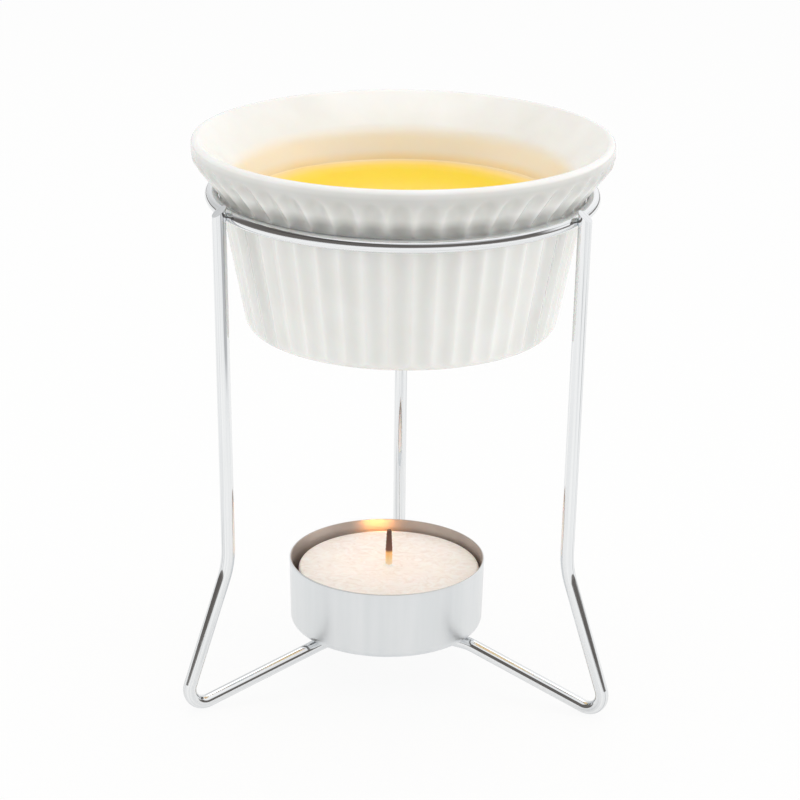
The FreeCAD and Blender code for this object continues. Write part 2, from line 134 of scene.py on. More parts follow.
mirror_share = add_node(tree, "ShaderNodeMath", {
    0: mirrored.outputs[0], 1: 0.65}, operation="MULTIPLY")
camera_share = add_node(tree, "ShaderNodeMath", {
    0: rays.outputs["Is Camera Ray"], 1: 0.9}, operation="MULTIPLY")
white_share = add_node(tree, "ShaderNodeMath", {
    0: mirror_share.outputs[0], 1: camera_share.outputs[0]}, operation="MAXIMUM")
lit_paper = add_node(tree, "ShaderNodeBsdfDiffuse", {"Color": linear("F0F0EE")})
bare_white = add_node(tree, "ShaderNodeEmission", {"Color": linear("FFFFFF"), "Strength": 1.0})
seen_paper = add_node(tree, "ShaderNodeMixShader", {
    0: white_share.outputs[0], 1: lit_paper.outputs[0], 2: bare_white.outputs[0]})
dark_table = add_node(tree, "ShaderNodeEmission", {"Color": linear("807D7A"), "Strength": 1.0})
seen_floor = add_node(tree, "ShaderNodeMixShader", {
    0: table_mirrored.outputs[0], 1: seen_paper.outputs[0], 2: dark_table.outputs[0]})
add_node(tree, "ShaderNodeOutputMaterial", {"Surface": seen_floor.outputs[0]})

sheet = bmesh.new()
half_floor = 4
bmesh.ops.create_grid(sheet, x_segments=1, y_segments=1, size=half_floor)
floor_mesh = bpy.data.meshes.new("floor")
sheet.to_mesh(floor_mesh)
sheet.free()
floor_mesh.materials.append(paper)
floor = bpy.data.objects.new("floor", floor_mesh)
scene.collection.objects.link(floor)

room = bpy.data.worlds.new("white_room")
scene.world = room
room.use_nodes = True
tree = room.node_tree
tree.nodes.clear()
rays = add_node(tree, "ShaderNodeLightPath")
direction = add_node(tree, "ShaderNodeTexCoord")
way = add_node(tree, "ShaderNodeSeparateXYZ", {0: direction.outputs["Generated"]})
ceiling_slant = add_node(tree, "ShaderNodeMath", {
    0: way.outputs["X"], 1: 0.2, 2: way.outputs["Z"]}, operation="MULTIPLY_ADD")
under_ceiling = add_node(tree, "ShaderNodeMapRange", {
    0: ceiling_slant.outputs[0], 1: 0.61, 2: 0.71, 3: 1.0, 4: 0.0}, interpolation_type="SMOOTHSTEP")
round_room = add_node(tree, "ShaderNodeMath", {
    0: way.outputs["X"], 1: 0.25, 2: way.outputs["Y"]}, operation="MULTIPLY_ADD")
camera_side = add_node(tree, "ShaderNodeMapRange", {
    0: round_room.outputs[0], 1: 0.1, 2: 0.45, 3: 1.0, 4: 0.0}, interpolation_type="SMOOTHSTEP")
dark_side = add_node(tree, "ShaderNodeMath", {
    0: under_ceiling.outputs[0], 1: camera_side.outputs[0]}, operation="MULTIPLY")
left_side = add_node(tree, "ShaderNodeMapRange", {0: way.outputs["X"], 1: -0.6, 2: 0.1, 3: 1.0, 4: 0.0})
grey_side = add_node(tree, "ShaderNodeMath", {
    0: under_ceiling.outputs[0], 1: left_side.outputs[0]}, operation="MULTIPLY")
wall_colour = add_node(tree, "ShaderNodeMix", {
    0: grey_side.outputs[0], 6: linear("FFFFFF"), 7: linear("D4D5D5")}, data_type="RGBA")
dark_mirrored = add_node(tree, "ShaderNodeMath", {
    0: dark_side.outputs[0], 1: rays.outputs["Is Glossy Ray"]}, operation="MULTIPLY")
room_colour = add_node(tree, "ShaderNodeMix", {
    0: dark_mirrored.outputs[0], 6: wall_colour.outputs[2], 7: linear("6A6663")}, data_type="RGBA")
seen_room = add_node(tree, "ShaderNodeMix", {
    0: rays.outputs["Is Camera Ray"], 6: room_colour.outputs[2], 7: linear("FFFFFF")}, data_type="RGBA")
straight_or_mirror = add_node(tree, "ShaderNodeMath", {
    0: rays.outputs["Is Camera Ray"], 1: rays.outputs["Is Glossy Ray"]}, operation="MAXIMUM")
plainly_seen = add_node(tree, "ShaderNodeMath", {
    0: straight_or_mirror.outputs[0], 1: rays.outputs["Is Transmission Ray"]}, operation="MAXIMUM")
room_light = add_node(tree, "ShaderNodeMapRange", {0: plainly_seen.outputs[0], 3: 0.9, 4: 1.0})
backdrop = add_node(tree, "ShaderNodeBackground", {
    "Color": seen_room.outputs[2], "Strength": room_light.outputs[0]})
add_node(tree, "ShaderNodeOutputWorld", {"Surface": backdrop.outputs[0]})

middle = (cad_box[0] + cad_box[1]) / 2
soft_boxes = {
    # place in metres, side in metres, power in watts
    "top_box": ((0.0, 0.15, 0.8), 0.6, 1.15),
    "left_box": ((-0.8, -0.2, 0.22), 0.5, 1.8),
    "right_box": ((0.8, -0.2, 0.22), 0.5, 1.65),
}
for name, (place, side, watts) in soft_boxes.items():
    lamp = bpy.data.lights.new(name, "AREA")
    lamp.size = side
    lamp.energy = watts
    box = bpy.data.objects.new(name, lamp)
    box.location = place
    box.rotation_euler = (middle - box.location).to_track_quat("-Z", "Y").to_euler()
    # The side boxes would show as white patches in the hoop
    box.visible_glossy = name == "top_box"
    scene.collection.objects.link(box)


# Dish: white porcelain, cast in a fluted mould, glazed inside and out and fired on a dry foot ring.
# The glaze softens the ridges and is a little greyer in the flutes. Painted shade greys it at the neck and
# on the rim band.
# Butter has left a warm film on the wall above its surface, tinted more yellow by painted reflection of the
# butter.
def ride_along(shape, name, material, slot_name, *replaced):
    """Turn a bmesh into a piece of the object that stands for CAD nodes."""
    mesh = bpy.data.meshes.new(name)
    shape.to_mesh(mesh)
    shape.free()
    mesh.shade_smooth()
    mesh.set_sharp_from_angle(angle=math.radians(40))
    mesh.materials.append(material)
    piece = bpy.data.objects.new(name, mesh)
    scene.collection.objects.link(piece)
    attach(piece, "root")
    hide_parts(*replaced)


arc_step = math.radians(9)


def rounded_line(corners):
    """Section line through (radius, height, rounding) corners in metres, with arcs at the rounded ones."""
    line = [Vector(corners[0][:2])]
    for (*before, _), (*corner, rounding), (*after, _) in zip(corners, corners[1:], corners[2:]):
        corner = Vector(corner)
        if rounding == 0:
            line.append(corner)
            continue
        back = (Vector(before) - corner).normalized()
        ahead = (Vector(after) - corner).normalized()
        half_angle = back.angle(ahead) / 2
        centre = corner + (back + ahead).normalized() * (rounding / math.sin(half_angle))
        start = corner + back * (rounding / math.tan(half_angle)) - centre
        turn = (math.pi - 2 * half_angle) * (1 if ahead.cross(back) > 0 else -1)
        steps = max(3, round(abs(turn) / arc_step))
        line += [centre + Matrix.Rotation(turn * step / steps, 2) @ start for step in range(steps + 1)]
    line.append(Vector(corners[-1][:2]))
    return line


def spin_line(shape, line, steps):
    """Turn a section line a full round about the upright axis, with its poles closed."""
    points = [shape.verts.new((radius, 0, height)) for radius, height in line]
    edges = [shape.edges.new(pair) for pair in zip(points, points[1:])]
    bmesh.ops.spin(shape, geom=points + edges, cent=(0, 0, 0), axis=(0, 0, 1),
                   angle=math.tau, steps=steps, use_merge=True)
    bmesh.ops.remove_doubles(shape, verts=shape.verts, dist=0.002 * MM)
    bmesh.ops.recalc_face_normals(shape, faces=shape.faces)


dish_low, dish_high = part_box("dish")
dish_base, rim_top, rim_radius = dish_low.z, dish_high.z, dish_high.x
flare_reach, flare_rise, rim_rise, wall_lean = 4.92 * MM, 6.3 * MM, 9.8 * MM, 5.33 * MM
neck_radius, neck = rim_radius - flare_reach, rim_top - rim_rise
base_radius = neck_radius - wall_lean
rim_corner, throat = neck + flare_rise, dish_base + 30.3 * MM
wall, lip_round = 4 * MM, 0.9 * MM
wall_slope = (neck_radius - base_radius) / (neck - dish_base)
flare_slope = (rim_radius - neck_radius) / (rim_corner - neck)
wall_secant, flare_secant = math.hypot(1, wall_slope), math.hypot(1, flare_slope)
dish_floor = dish_base + 4 * MM
foot_ring_inside = base_radius - 6.05 * MM
foot_hollow = dish_base + 0.8 * MM


def inner_wall(height):
    """Radius of the dish's inner wall at a height."""
    return base_radius + wall_slope * (height - dish_base) - wall * wall_secant


lip_centre = Vector((rim_radius - lip_round, rim_top - lip_round))
to_lip = lip_centre - Vector((inner_wall(throat), throat))
inner_flare_angle = math.atan2(to_lip.y, to_lip.x) + math.asin(lip_round / to_lip.length)
lip_arc, lip_steps = [], 12
for step in range(lip_steps + 1):
    turn = (inner_flare_angle + math.pi / 2) * step / lip_steps
    lip_arc.append((
        lip_centre.x + lip_round * math.cos(turn),
        lip_centre.y + lip_round * math.sin(turn), 0))

# Rows of points close together where the flutes run out on the flare and the band
flute_count, steps_per_flute = 48, 14
flare_rows = [
    (rim_radius - flare_slope * drop, rim_corner - drop, 0)
    for drop in (step * 0.4 * MM for step in range(12, 3, -1))
]
rim_rows = [(rim_radius, rim_corner + rise * MM, 0) for rise in (1.3, 1.7)]
dish_line = rounded_line([
    (0, foot_hollow, 0),
    (foot_ring_inside - 0.4 * MM, foot_hollow, 0.3 * MM),
    (foot_ring_inside, dish_base, 0.3 * MM),
    (base_radius, dish_base, 2.7 * MM),
    (neck_radius, neck, 3 * MM),
    *flare_rows,
    (rim_radius, rim_corner, 3 * MM),
    *rim_rows,
    *lip_arc,
    (inner_wall(throat), throat, 5 * MM),
    (inner_wall(dish_floor), dish_floor, 5 * MM),
    (0, dish_floor, 0),
])
shape = bmesh.new()
spin_line(shape, dish_line, flute_count * steps_per_flute)

# A flute is the path of a round tool: up the wall, round the neck and out along the flare
tool_radius, foot_depth, flute_depth, ridge_softness = 3.6 * MM, 0.45 * MM, 0.75 * MM, 0.2 * MM
flute_step = math.tau / flute_count
first_flute = math.radians(7.15)
flute_mark = shape.verts.layers.float.new("flute")
painted_shade_mark = shape.verts.layers.float.new("painted_shade_on_glaze")
film_and_reflection_mark = shape.verts.layers.float.new("butter_film_and_reflection")


def flute_valley(height):
    """Radius of a flute's deepest line, bent softly at the neck, and the slope of that line."""
    rising = base_radius - foot_depth * wall_secant + (height - dish_base) * (
        wall_slope - (flute_depth - foot_depth) * wall_secant / (neck - dish_base))
    flaring = neck_radius - flute_depth * flare_secant + (height - neck) * flare_slope
    bend = 0.5 * MM
    blend = 0.5 * (1 + (flaring - rising) / math.hypot(flaring - rising, bend))
    valley = 0.5 * (rising + flaring + math.hypot(flaring - rising, bend))
    return valley, wall_slope + (flare_slope - wall_slope) * blend


for corner in shape.verts:
    around = math.atan2(corner.co.y, corner.co.x)
    across = around - first_flute
    across -= round(across / flute_step) * flute_step
    reach, height = math.hypot(corner.co.x, corner.co.y), corner.co.z
    # Butter film and painted reflection of the butter: the wall just above the butter is marked for a
    # yellow tint
    if reach < inner_wall(height) + 0.5 * wall and height < throat + 3 * MM:
        corner[film_and_reflection_mark] = min(1, max(0, (throat + 1.2 * MM - height) / (2.4 * MM)))
        continue
    inner_flare = reach < rim_radius - 1.5 * lip_round and height > rim_corner
    if inner_flare or reach < foot_ring_inside + 1 * MM:
        continue
    # Painted shade: the glaze is greyed on the upper flare and rim band, under the lip, and round the neck
    # just above the hoop
    over_flare = (height - neck - 3.5 * MM) / (3.5 * MM)
    under_lip = (rim_top - 0.6 * lip_round - height) / (0.7 * MM)
    at_neck = 1 - abs(height - neck - 1.3 * MM) / (2.4 * MM)
    corner[painted_shade_mark] = max(0, min(1, max(min(over_flare, under_lip), at_neck)))
    valley, slope = flute_valley(height)
    outward, aside = reach * math.cos(across), reach * math.sin(across)
    if abs(aside) >= tool_radius:
        continue
    cut = valley + (tool_radius - math.sqrt(tool_radius ** 2 - aside ** 2)) * math.hypot(1, slope)
    overlap = outward - cut
    if overlap > -4 * ridge_softness:
        soft_cut = 0.5 * (overlap + math.hypot(overlap, ridge_softness))
        corner[flute_mark] = min(1, soft_cut / flute_depth)
        corner.co.x -= soft_cut * math.cos(around - across)
        corner.co.y -= soft_cut * math.sin(around - across)
bmesh.ops.recalc_face_normals(shape, faces=shape.faces)

# Glazed porcelain: a clean white gloss with soft clouds and ripples, and a cream to yellow film inside,
# partly painted reflection of the butter
porcelain, tree = new_material("glazed_porcelain")
place = add_node(tree, "ShaderNodeTexCoord")
in_flute = add_node(tree, "ShaderNodeAttribute", attribute_name="flute")
glaze_pool = add_node(tree, "ShaderNodeMapRange", {
    0: in_flute.outputs["Fac"], 1: 0.2, 2: 1.0, 3: 0.0, 4: 1.0})
# Painted shade: where this mark is set, both glaze tones turn to their darker grey
painted_shade_attr = add_node(tree, "ShaderNodeAttribute", attribute_name="painted_shade_on_glaze")
open_glaze = add_node(tree, "ShaderNodeMix", {
    0: painted_shade_attr.outputs["Fac"], 6: linear("F1F1EF"), 7: linear("D1D1CE")}, data_type="RGBA")
pooled_glaze = add_node(tree, "ShaderNodeMix", {
    0: painted_shade_attr.outputs["Fac"], 6: linear("E8E8E5"), 7: linear("CAC9C5")}, data_type="RGBA")
glaze_colour = add_node(tree, "ShaderNodeMix", {
    0: glaze_pool.outputs[0], 6: open_glaze.outputs[2], 7: pooled_glaze.outputs[2]}, data_type="RGBA")
glaze_flow = add_node(tree, "ShaderNodeTexNoise", {
    "Vector": place.outputs["Object"], "Scale": 1 / (9 * MM), "Detail": 3.0, "Roughness": 0.5})
cloud = add_node(tree, "ShaderNodeMapRange", {
    0: glaze_flow.outputs[0], 1: 0.3, 2: 0.7, 3: 0.0, 4: 1.0})
clouded = add_node(tree, "ShaderNodeMix", {
    6: glaze_colour.outputs[2], 7: linear("F4F3F0")}, data_type="RGBA", blend_type="MULTIPLY")
body_colour = add_node(tree, "ShaderNodeMix", {
    0: cloud.outputs[0], 6: glaze_colour.outputs[2], 7: clouded.outputs[2]}, data_type="RGBA")
film_and_reflection_attr = add_node(tree, "ShaderNodeAttribute", attribute_name="butter_film_and_reflection")
film_and_reflection_edge = add_node(tree, "ShaderNodeMapRange", {0: cloud.outputs[0], 3: 0.65, 4: 1.0})
film_and_reflection_share = add_node(tree, "ShaderNodeMath", {
    0: film_and_reflection_attr.outputs["Fac"], 1: film_and_reflection_edge.outputs[0]}, operation="MULTIPLY")
height = add_node(tree, "ShaderNodeSeparateXYZ", {0: place.outputs["Object"]})
butter_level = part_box("melted_butter")[1].z
over_butter = add_node(tree, "ShaderNodeMapRange", {
    0: height.outputs["Z"], 1: butter_level, 2: butter_level + 2.2 * MM}, interpolation_type="SMOOTHSTEP")
# Painted reflection of the butter: deepest yellow at its surface, paler higher up the wall
film_and_reflection_colour = add_node(tree, "ShaderNodeMix", {
    0: over_butter.outputs[0], 6: linear("FFE2AC"), 7: linear("FAF0E2")}, data_type="RGBA")
tinted = add_node(tree, "ShaderNodeMix", {
    0: film_and_reflection_share.outputs[0], 6: body_colour.outputs[2], 7: film_and_reflection_colour.outputs[2]}, data_type="RGBA")
orange_peel = add_node(tree, "ShaderNodeTexNoise", {
    "Vector": place.outputs["Object"], "Scale": 1 / (2.2 * MM), "Detail": 1.0})
turned_rings = add_node(tree, "ShaderNodeTexWave", {
    "Vector": place.outputs["Object"], "Scale": 1 / (9 * MM), "Distortion": 0.6, "Detail": 1.0},
    wave_type="RINGS", rings_direction="Z")
relief = add_node(tree, "ShaderNodeMath", {
    0: turned_rings.outputs["Fac"], 1: 0.35}, operation="MULTIPLY")
glaze_relief = add_node(tree, "ShaderNodeMath", {
    0: orange_peel.outputs[0], 1: relief.outputs[0]}, operation="ADD")
ripple = add_node(tree, "ShaderNodeBump", {
    "Height": glaze_relief.outputs[0], "Strength": 0.12, "Distance": 0.05 * MM})
glaze = add_node(tree, "ShaderNodeBsdfPrincipled", {
    "Base Color": tinted.outputs[2], "Roughness": 0.14, "IOR": 1.5, "Normal": ripple.outputs[0],
    "Subsurface Weight": 0.15, "Subsurface Scale": 1.5 * MM})
add_node(tree, "ShaderNodeOutputMaterial", {"Surface": glaze.outputs[0]})
ride_along(shape, "fluted_dish", porcelain, "porcelain", "dish")


# Butter: melted and clear, poured to just under the throat. It wets the porcelain, so its edge creeps up
# the wall a little. It goes a hair into the dish all round, so that no gap shows.
creep, sunk, edge_round = 0.15 * MM, 0.05 * MM, 0.4 * MM
shape = bmesh.new()
spin_line(shape, rounded_line([
    (0, dish_floor - sunk, 0),
    (inner_wall(dish_floor) + sunk, dish_floor - sunk, 5 * MM),
    (inner_wall(butter_level + creep) + sunk, butter_level + creep, 0),
    (inner_wall(butter_level) - 0.3 * MM, butter_level, edge_round),
    (0, butter_level, 0),
]), 192)

# Clear melted butter: deep yellow in the middle, and pale cream at the shore, where it is shallow
butter, tree = new_material("clear_melted_butter")
place = add_node(tree, "ShaderNodeTexCoord")
flat_place = add_node(tree, "ShaderNodeMapping", {
    "Vector": place.outputs["Object"], "Scale": (1, 1, 0)})
from_axis = add_node(tree, "ShaderNodeVectorMath", {0: flat_place.outputs[0]}, operation="LENGTH")
shore = add_node(tree, "ShaderNodeMapRange", {
    0: from_axis.outputs["Value"], 1: 18 * MM, 2: 30.4 * MM, 3: 0.0, 4: 1.0})
swirl = add_node(tree, "ShaderNodeTexNoise", {
    "Vector": place.outputs["Object"], "Scale": 1 / (14 * MM), "Detail": 2.0})
uneven_shore = add_node(tree, "ShaderNodeMath", {
    0: swirl.outputs[0], 1: 0.16, 2: -0.08}, operation="MULTIPLY_ADD")
shallowness = add_node(tree, "ShaderNodeMath", {
    0: shore.outputs[0], 1: uneven_shore.outputs[0]}, operation="ADD")
butter_colour = add_node(tree, "ShaderNodeValToRGB", {0: shallowness.outputs[0]}, stops=[
    (0.0, "FFD400"), (0.35, "FFD512"), (0.65, "FFD84E"), (0.9, "FFE096"), (1.0, "FFE8BC")])
glow_through = add_node(tree, "ShaderNodeMapRange", {
    0: shore.outputs[0], 1: 0.5, 2: 0.8, 3: 0.4, 4: 0.0})
wet = add_node(tree, "ShaderNodeBsdfPrincipled", {
    "Base Color": butter_colour.outputs[0], "Roughness": 0.05, "IOR": 1.46, "Specular IOR Level": 0.12,
    "Subsurface Weight": glow_through.outputs[0], "Subsurface Scale": 3 * MM})
add_node(tree, "ShaderNodeOutputMaterial", {"Surface": wet.outputs[0]})
ride_along(shape, "butter_pool", butter, "butter", "melted_butter")


# Stand: bright chromed steel wire. The hoop is one closed ring. Each leg is one wire, cut slantwise at its
# top, where it joins the hoop, bent at knee, foot and shoulder, and mitred where the three meet.
wire_radius = 1.3 * MM
hoop_low, hoop_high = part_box("hoop")
hoop_height, hoop_radius = (hoop_low.z + hoop_high.z) / 2, hoop_high.x - wire_radius
ring_segments = 32

# Chromed steel: bright mirror lines along the wire, faint drawing lines that are partly painted reflection,
# and patches of haze
chrome, tree = new_material("chromed_steel_wire")
place = add_node(tree, "ShaderNodeTexCoord")
across = add_node(tree, "ShaderNodeAttribute", attribute_name="across")
line_width, line_length = 0.3 * MM, 40 * MM
die_and_reflection_lines = add_node(tree, "ShaderNodeMapping", {
    "Vector": across.outputs["Vector"], "Scale": [1 / line_width] * 3})
slow_change = add_node(tree, "ShaderNodeMapping", {
    "Vector": place.outputs["Object"], "Scale": [1 / line_length] * 3})
drawn_way = add_node(tree, "ShaderNodeVectorMath", {0: die_and_reflection_lines.outputs[0], 1: slow_change.outputs[0]})
drawn_and_reflected_lines = add_node(tree, "ShaderNodeTexNoise", {
    "Vector": drawn_way.outputs[0], "Scale": 1.0, "Detail": 2.0})
haze = add_node(tree, "ShaderNodeTexNoise", {
    "Vector": place.outputs["Object"], "Scale": 1 / (6 * MM), "Detail": 3.0})
# Painted reflection: the dark lines stand partly for streaks that the room mirrors along the wire, partly
# for drawing lines
plating_and_reflection_colour = add_node(tree, "ShaderNodeValToRGB", {0: drawn_and_reflected_lines.outputs[0]}, stops=[
    (0.3, "B4B6B9"), (0.4, "E6E8EA"), (0.7, "F3F4F5")])
plating_haze = add_node(tree, "ShaderNodeMapRange", {
    0: haze.outputs[0], 1: 0.3, 2: 0.7, 3: 0.05, 4: 0.12})
draw_marks = add_node(tree, "ShaderNodeBump", {
    "Height": drawn_and_reflected_lines.outputs[0], "Strength": 0.25, "Distance": 0.012 * MM})
plating = add_node(tree, "ShaderNodeBsdfPrincipled", {
    "Base Color": plating_and_reflection_colour.outputs[0], "Metallic": 1.0, "Roughness": plating_haze.outputs[0],
    "Normal": draw_marks.outputs[0]})
add_node(tree, "ShaderNodeOutputMaterial", {"Surface": plating.outputs[0]})


def mark_across(shape, middle):
    """Keep each point's place across the wire, which the drawing lines follow."""
    mark = shape.verts.layers.float.new("across")
    for corner in shape.verts:
        corner[mark] = middle(corner.co)


shape = bmesh.new()
section_place = Matrix.Translation((hoop_radius, 0, hoop_height)) @ Matrix.Rotation(math.pi / 2, 4, "X")
section = bmesh.ops.create_circle(
    shape, segments=ring_segments, radius=wire_radius, matrix=section_place)
bmesh.ops.spin(shape, geom=section["verts"] + shape.edges[:], cent=(0, 0, 0), axis=(0, 0, 1),
               angle=math.tau, steps=240, use_merge=True)
bmesh.ops.recalc_face_normals(shape, faces=shape.faces)
mark_across(shape, lambda spot: spot.z - hoop_height)
ride_along(shape, "wire_hoop", chrome, "chromed_wire", "hoop")

leg_low, leg_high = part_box("leg_back")
run_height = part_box("tealight_cup")[0].z - wire_radius
leg_rise, weld_bite, overlength = 1.2 * MM, 0.2 * MM, 6 * MM
leg_top = hoop_height + leg_rise
leg_reach = hoop_radius + 2 * wire_radius - weld_bite
shoulder_reach, shoulder_bend, foot_bend, knee_bend = 15 * MM, 10 * MM, 3.2 * MM, 17 * MM
knee = Vector((37.2, 29.4)) * MM
foot_centre = Vector((leg_high.y - wire_radius - foot_bend, foot_bend + wire_radius))
shoulder_centre = Vector((shoulder_reach, run_height - shoulder_bend))
to_foot, to_knee = foot_centre - shoulder_centre, knee - foot_centre
run_slope = math.asin((shoulder_bend + foot_bend) / to_foot.length) - math.atan2(to_foot.y, to_foot.x)
shin_lean = math.asin(foot_bend / to_knee.length) + math.atan2(-to_knee.x, to_knee.y)
upright_lean = math.atan2(leg_reach - knee.x, hoop_height - knee.y)
knee_turn = shin_lean + upright_lean
knee_trim = knee_bend * math.tan(knee_turn / 2)
upright_length = math.hypot(leg_reach - knee.x, hoop_height - knee.y) + overlength
top_cut_facing = (0.6, 0, 0.8)
mitre = math.radians(30)
bend_step = math.radians(6)


def bend_leg(azimuth):
    """A leg's wire: drawn outwards from the centre, bent step by step, cut and turned to its place."""
    shape = bmesh.new()
    pen = Vector((-2 * wire_radius, 0, run_height))
    heading = 0
    end = bmesh.ops.create_circle(
        shape, segments=ring_segments, radius=wire_radius,
        matrix=Matrix.Translation(pen) @ Matrix.Rotation(math.pi / 2, 4, "Y"))["verts"]
    steps = [
        ("run", shoulder_reach + 2 * wire_radius), ("bend", -run_slope, shoulder_bend),
        ("run", math.sqrt(to_foot.length_squared - (shoulder_bend + foot_bend) ** 2)),
        ("bend", run_slope + math.pi / 2 + shin_lean, foot_bend),
        ("run", math.sqrt(to_knee.length_squared - foot_bend ** 2) - knee_trim),
        ("bend", -knee_turn, knee_bend), ("run", upright_length - knee_trim),
    ]
    for kind, amount, *bend in steps:
        rim = [edge for edge in shape.edges if all(corner in end for corner in edge.verts)]
        ahead = Vector((math.cos(heading), 0, math.sin(heading)))
        if kind == "run":
            grown = bmesh.ops.extrude_edge_only(shape, edges=rim)["geom"]
            end = [item for item in grown if isinstance(item, bmesh.types.BMVert)]
            bmesh.ops.translate(shape, verts=end, vec=ahead * amount)
            pen += ahead * amount
            continue
        left = Vector((-math.sin(heading), 0, math.cos(heading)))
        centre = pen + left * math.copysign(bend[0], amount)
        last = bmesh.ops.spin(shape, geom=end + rim, cent=centre, axis=(0, -1, 0), angle=amount,
                              steps=max(4, round(abs(amount) / bend_step)))["geom_last"]
        end = [item for item in last if isinstance(item, bmesh.types.BMVert)]
        pen = centre + Matrix.Rotation(amount, 3, (0, -1, 0)) @ (pen - centre)
        heading += amount
    cut_ends = [
        ((leg_reach, 0, leg_top), top_cut_facing),
        ((0, 0, 0), (-math.cos(mitre), -math.sin(mitre), 0)),
        ((0, 0, 0), (-math.cos(mitre), math.sin(mitre), 0)),
    ]
    for place, facing in cut_ends:
        whole = shape.verts[:] + shape.edges[:] + shape.faces[:]
        cut = bmesh.ops.bisect_plane(shape, geom=whole, dist=0.001 * MM, plane_co=place, plane_no=facing,
                                     clear_outer=True)["geom_cut"]
        bmesh.ops.edgeloop_fill(shape, edges=[item for item in cut if isinstance(item, bmesh.types.BMEdge)])
    bmesh.ops.recalc_face_normals(shape, faces=shape.faces)
    mark_across(shape, lambda spot: spot.y)
    bmesh.ops.rotate(shape, verts=shape.verts, cent=(0, 0, 0), matrix=Matrix.Rotation(azimuth, 3, "Z"))
    return shape


for leg, azimuth in (("leg_back", 90), ("leg_left", 210), ("leg_right", 330)):
    ride_along(bend_leg(math.radians(azimuth)), "bent_" + leg, chrome, "chromed_wire", leg)


# Candle cup: drawn from thin aluminium sheet, with a round heel and a trimmed edge.
# The drawing leaves faint upright streaks and a few small dents, and the flame has smoked its inside.
cup_low, cup_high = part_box("tealight_cup")
cup_radius = (cup_high.x - cup_low.x) / 2
cup_place = Vector(((cup_low.x + cup_high.x) / 2, 0, cup_low.z))
cup_height = cup_high.z - cup_low.z
cup_wall, cup_taper, heel, edge_round = 0.35 * MM, 0.3 * MM, 1.7 * MM, 0.12 * MM
shape = bmesh.new()
spin_line(shape, rounded_line([
    (0, 0, 0),
    (cup_radius - cup_taper, 0, heel),
    (cup_radius, cup_height, edge_round),
    (cup_radius - cup_wall, cup_height, edge_round),
    (cup_radius - cup_taper - cup_wall, cup_wall, heel - cup_wall),
    (0, cup_wall, 0),
]), 192)
inside_mark = shape.verts.layers.float.new("inside")
heel_centre = cup_radius - cup_taper - heel
# The mark also takes in the inner half of the rim's top, where the smoke tone paints a dark reflected line
# along the edge
for corner in shape.verts:
    reach, rise = math.hypot(corner.co.x, corner.co.y), corner.co.z
    if rise > heel:
        inside = reach < cup_radius - cup_taper * (1 - rise / cup_height) - 0.5 * cup_wall
    elif reach > heel_centre:
        inside = math.hypot(reach - heel_centre, rise - heel) < heel - 0.5 * cup_wall
    else:
        inside = rise > 0.5 * cup_wall
    corner[inside_mark] = 1 if inside else 0
bmesh.ops.translate(shape, verts=shape.verts, vec=cup_place)

# Drawn aluminium: a pale satin metal outside, and a dull brown grey smoke inside that also paints a dark
# reflected line on the rim's inner edge
aluminium, tree = new_material("drawn_aluminium_sheet")
place = add_node(tree, "ShaderNodeTexCoord")
drawn_way = add_node(tree, "ShaderNodeMapping", {
    "Vector": place.outputs["Object"], "Scale": (1 / (2.4 * MM), 1 / (2.4 * MM), 1 / (40 * MM))})
streaks = add_node(tree, "ShaderNodeTexNoise", {
    "Vector": drawn_way.outputs[0], "Scale": 1.0, "Detail": 3.0})
dents = add_node(tree, "ShaderNodeTexNoise", {
    "Vector": place.outputs["Object"], "Scale": 1 / (5 * MM), "Detail": 1.0})
sheet_colour = add_node(tree, "ShaderNodeValToRGB", {0: streaks.outputs[0]}, stops=[
    (0.3, "E2E5E7"), (0.7, "E8EAEC")])
smoke_and_rim_reflection = add_node(tree, "ShaderNodeAttribute", attribute_name="inside")
smoke_cloud = add_node(tree, "ShaderNodeTexNoise", {
    "Vector": place.outputs["Object"], "Scale": 1 / (8 * MM), "Detail": 2.0})
smoke_and_rim_reflection_colour = add_node(tree, "ShaderNodeValToRGB", {0: smoke_cloud.outputs[0]}, stops=[
    (0.35, "AAA19B"), (0.65, "BCB3AD")])
sheet_look = add_node(tree, "ShaderNodeMix", {
    0: smoke_and_rim_reflection.outputs["Fac"], 6: sheet_colour.outputs[0], 7: smoke_and_rim_reflection_colour.outputs[0]}, data_type="RGBA")
sheet_relief = add_node(tree, "ShaderNodeMath", {0: streaks.outputs[0], 1: 0.12, 2: dents.outputs[0]},
                        operation="MULTIPLY_ADD")
uneven = add_node(tree, "ShaderNodeBump", {
    "Height": sheet_relief.outputs[0], "Strength": 0.2, "Distance": 0.03 * MM})
bare_metal = add_node(tree, "ShaderNodeMapRange", {0: smoke_and_rim_reflection.outputs["Fac"], 3: 1.0, 4: 0.4})
satin = add_node(tree, "ShaderNodeBsdfPrincipled", {
    "Base Color": sheet_look.outputs[2], "Metallic": bare_metal.outputs[0], "Roughness": 0.3,
    "Normal": uneven.outputs[0]})
add_node(tree, "ShaderNodeOutputMaterial", {"Surface": satin.outputs[0]})
ride_along(shape, "candle_cup", aluminium, "cup_sheet", "tealight_cup")


